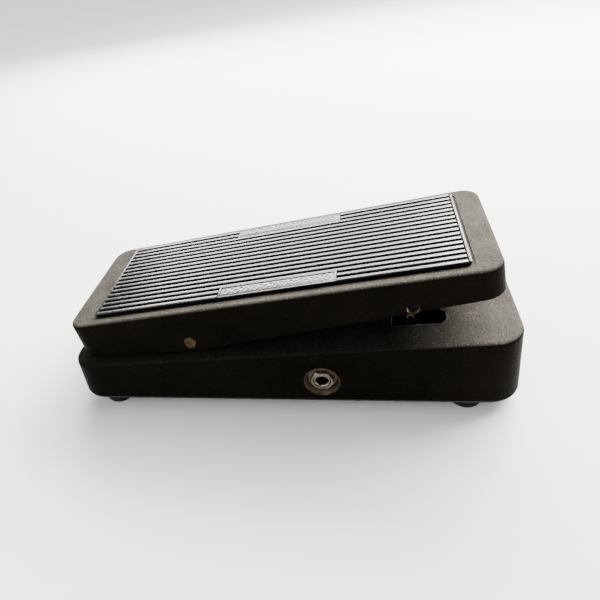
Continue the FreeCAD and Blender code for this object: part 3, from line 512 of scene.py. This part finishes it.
bm = bmesh.new()
lo, hi = PANEL_HEEL, PANEL_TOE
spacing = (hi - lo - 2 * LOZENGE_END) / (LOZENGES - 1)
for side in (1, -1):
    # sunk field, inner and outer borders, end caps, as (near edge, far edge, heel, toe, top, soft edge)
    for near, far, heel, toe, top, soft in (
            (PANEL_IN + 1.3, PANEL_OUT - 0.02, lo + 1.2, hi - 1.2, 1.85, 0.12),
            (PANEL_IN, PANEL_IN + 0.8, lo, hi, 2.05, 0.15),
            (PANEL_OUT - 0.9, PANEL_OUT, lo, hi, 2.02, 0.15),
            (PANEL_IN + 0.2, PANEL_OUT - 0.2, lo, lo + 0.9, 2.05, 0.15),
            (PANEL_IN + 0.2, PANEL_OUT - 0.2, hi - 0.9, hi, 2.05, 0.15)):
        slab(bm, *sorted((side * near, side * far)), heel, toe, 0.6, top, corner=0.3, edge=soft)
    middle = side * (PANEL_IN + PANEL_OUT + 0.4) / 2
    for k in range(LOZENGES):
        y = lo + LOZENGE_END + spacing * k
        lozenge_ring(bm, middle, y, 2.5, 2.3, 0.75, 1.8, 2.12)
        if k < LOZENGES - 1:
            between = y + spacing / 2
            for x in (middle - 2.3, middle + 2.3):
                slab(bm, x - 0.35, x + 0.35, between - 0.9, between + 0.9, 1.8, 2.1, corner=0.2, edge=0.1)
finish_mesh("mat_side_panels", bm, MAT_RUBBER, TREAD)

# ------------------------------------------------------------------ feet
bm = bmesh.new()
profile = [(2.2, 4.0), (4.6, 4.0), (4.75, 0.9), (5.2, 0.25), (5.9, 0.0), (7.4, 0.0), (8.1, 0.35),
           (8.5, 1.1), (8.75, 2.6), (8.9, 2.75), (8.9, 3.1), (8.8, 3.3), (9.05, 5.2), (9.3, 6.9),
           (9.35, 7.45), (2.2, 7.45), (2.2, 4.0)]
for x in (FOOT_X, -FOOT_X):
    for y in FOOT_ROWS:
        spin(bm, profile, Matrix.Translation((x * MM, y * MM, 0)), 56)
finish_mesh("moulded_feet", bm, FOOT_RUBBER, BASE, ["rubber_feet"], smooth=50)

# ------------------------------------------------------------------ turned and threaded parts
for name, sign in (("input_jack", 1), ("output_jack", -1)):
    where = frame_on(Vector((sign * 35.0 * MM, JACK.y, JACK.z)), (sign, 0, 0))
    bm = bmesh.new()
    inside = [(3.2, 0.0), (3.2, 13.9), (3.35, 14.25), (3.75, 14.6), (4.25, 14.6), (4.45, 14.4)]
    outside = list(reversed(thread(0.6, 14.2, 4.75, 0.8, 0.3))) + [(4.75, 0.3), (4.75, 0.0), (3.2, 0.0)]
    spin(bm, inside + outside, where, 64)
    finish_mesh(name + "_threaded_bushing", bm, NICKEL, BASE, [name + "_bushing"])

bm = bmesh.new()
end = ROD_END
profile = [(0.0, -end + 0.5), (0.9, -end + 0.45), (1.5, -end + 0.02), (3.1, -end), (3.5, -end + 0.25),
           (3.8, -end + 0.7), (3.8, -30.0), (3.8, 30.0), (3.8, end - 0.7), (3.5, end - 0.25),
           (3.1, end), (1.5, end - 0.02), (0.9, end - 0.45), (0.0, end - 0.5)]
spin(bm, profile, frame_on(PIVOT, (1, 0, 0)), 56)
finish_mesh("turned_pivot_rod", bm, ROD, TREAD, ["pivot_rod"], smooth=25)

bm = bmesh.new()
inside = [(4.65, 42.0), (4.65, 51.4), (4.9, 51.8), (5.3, 52.0), (5.6, 51.9)]
outside = list(reversed(thread(42.4, 51.7, 6.0, 0.8, 0.32))) + [(6.0, 42.2), (6.0, 42.0), (4.65, 42.0)]
spin(bm, inside + outside, Matrix.Translation((0, SWITCH_Y, 0)), 64)
finish_mesh("switch_threaded_bushing", bm, NICKEL, BASE, ["footswitch_bushing"])


# ------------------------------------------------------------------ slot bead, hole lining, rack's wires
def roof(y):
    """Height of the sloping top of the base in mm."""
    return HEEL_TOP + (TOE_TOP - HEEL_TOP) * (y + BASE_LONG / 2) / BASE_LONG


x0, x1, y0, y1 = SLOT
cut = SLOT_CORNER
outline = [(x1, y0), (x1, y1 - cut), (x1 - cut, y1), (x0 + cut, y1), (x0, y1 - cut), (x0, y0)]
bm = bmesh.new()
dense = []
for (ax, ay), (bx, by) in zip(outline, outline[1:] + outline[:1]):
    dense += [(ax + (bx - ax) * t, ay + (by - ay) * t) for t in (0.02, 0.35, 0.65, 0.98)]
tube(bm, [(x, y, roof(y) - 0.04) for x, y in dense], 0.2, closed=True)
finish_mesh("slot_edge_bead", bm, WORN, BASE, smooth=60)

bm = bmesh.new()
spin(bm, [(3.0, 0.0), (3.0, 1.9), (3.04, 2.05), (3.12, 2.1), (3.12, 0.0), (3.0, 0.0)],
     frame_on(RACK_PIN, (1, 0, 0)), 48)
finish_mesh("access_hole_lining", bm, BARE, TREAD, smooth=30)

bm = bmesh.new()
tube(bm, [(29.8, 68.7, 43.6), (29.8, 68.6, 46.0), (29.8, 68.6, 49.3), (29.85, 68.9, 50.3), (29.9, 70.0, 50.7),
          (29.9, 71.2, 50.2), (29.85, 71.9, 48.8), (29.8, 72.2, 46.8), (29.8, 72.2, 45.0)], 0.2)
finish_mesh("rack_wire_clip", bm, CLIP, RACK, smooth=60)

bm = bmesh.new()
tube(bm, [(30.2, 74.2, 36.6), (30.2, 74.1, 40.0), (30.2, 73.9, 42.9)], 0.25)
dome = [(0.0, 0.8), (0.33, 0.74), (0.62, 0.52), (0.8, 0.18), (0.84, 0.0), (0.0, 0.0)]
spin(bm, dome, frame_on(Vector((29.75, 73.9, 43.4)) * MM, (1, 0, 0)), 24)
finish_mesh("guide_spring_tip", bm, TIP, BASE, smooth=60)


# ------------------------------------------------------------------ studio
def studio():
    """Round pale floor that turns up softly far away, so no horizon shows."""
    bm = bmesh.new()
    profile = [(r, 0.0) for r in (0.4, 0.9, 1.6)]
    profile += [(1.6 + 0.8 * k, 0.028 * k * k) for k in range(1, 16)]
    rings = []
    for r, z in profile:
        rings.append([bm.verts.new((r * math.cos(a), r * math.sin(a), z)) for a in
                      (2 * math.pi * k / FLOOR_SIDES for k in range(FLOOR_SIDES))])
    bm.faces.new(rings[0])
    for low, high in zip(rings, rings[1:]):
        for k in range(FLOOR_SIDES):
            n = (k + 1) % FLOOR_SIDES
            bm.faces.new((low[k], high[k], high[n], low[n]))
    mesh = bpy.data.meshes.new("floor")
    bm.to_mesh(mesh)
    bm.free()
    mesh.shade_smooth()
    floor = bpy.data.objects.new("floor", mesh)
    bpy.context.scene.collection.objects.link(floor)
    g = Graph("pale_paper")
    g.set(Base_Color=g.blend(g.ramp(g.noise(3, 2), 0.3, 0.7), grey(0.87), grey(0.89)), Roughness=0.9)
    mesh.materials.append(g.mat)


def soft_sun(name, towards, strength, angle):
    """Even light from one direction; the angle sets how soft it is."""
    light = bpy.data.lights.new(name, "SUN")
    light.energy, light.angle = strength, math.radians(angle)
    obj = bpy.data.objects.new(name, light)
    obj.rotation_mode = "QUATERNION"
    obj.rotation_quaternion = (-Vector(towards)).to_track_quat("-Z", "Y")
    bpy.context.scene.collection.objects.link(obj)


def strip_box(name, at, along, size, radiance, colour):
    """Rectangular soft box at a point, facing the pedal, its long side along a direction."""
    light = bpy.data.lights.new(name, "AREA")
    light.shape, light.size, light.size_y = "RECTANGLE", size[0], size[1]
    light.energy, light.color = radiance * math.pi * size[0] * size[1], colour
    back = (Vector(at) - PEDAL_MIDDLE).normalized()
    side = Vector(along)
    side = (side - side.dot(back) * back).normalized()
    obj = bpy.data.objects.new(name, light)
    obj.matrix_world = Matrix.Translation(at) @ Matrix((side, back.cross(side), back)).transposed().to_4x4()
    obj.visible_camera = False
    bpy.context.scene.collection.objects.link(obj)


def camera():
    """Camera where the photo was taken from, off the player's right-hand side."""
    yaw, pitch, roll = CAMERA_YAW, CAMERA_PITCH, CAMERA_ROLL
    ahead = Vector((-math.cos(pitch) * math.cos(yaw), -math.cos(pitch) * math.sin(yaw), -math.sin(pitch)))
    right = ahead.cross(Vector((0, 0, 1))).normalized()
    up = right.cross(ahead)
    right2 = right * math.cos(roll) + up * math.sin(roll)
    up2 = up * math.cos(roll) - right * math.sin(roll)
    data = bpy.data.cameras.new("camera")
    data.sensor_width, data.lens = 36.0, FOCAL_PER_SENSOR * 36
    data.shift_x, data.shift_y = 0.06, -0.01
    data.clip_start, data.clip_end = 0.01, 50
    cam = bpy.data.objects.new("camera", data)
    cam.matrix_world = Matrix.Translation(CAMERA_AT) @ Matrix(
        (right2, up2, -ahead)).transposed().to_4x4()
    bpy.context.scene.collection.objects.link(cam)
    bpy.context.scene.camera = cam


studio()
strip_box("window", (-0.75, 0.70, 0.76), (0.7, 0.7, 0), (1.2, 0.7), 31, (1.0, 0.98, 0.94))
strip_box("rear_strip", (-0.95, -0.1, 0.72), (0, 0.92, 0.385), (1.4, 0.45), 27, (1.0, 0.97, 0.93))
soft_sun("top_light", (-0.42, 0.42, 1.0), 3.2, 50)
soft_sun("front_fill", (0.75, -0.35, 0.7), 2.0, 70)
world = bpy.data.worlds.new("studio")
world.use_nodes = True
world.node_tree.nodes["Background"].inputs[0].default_value = (1, 1, 1, 1)
world.node_tree.nodes["Background"].inputs[1].default_value = 0.05
bpy.context.scene.world = world
camera()
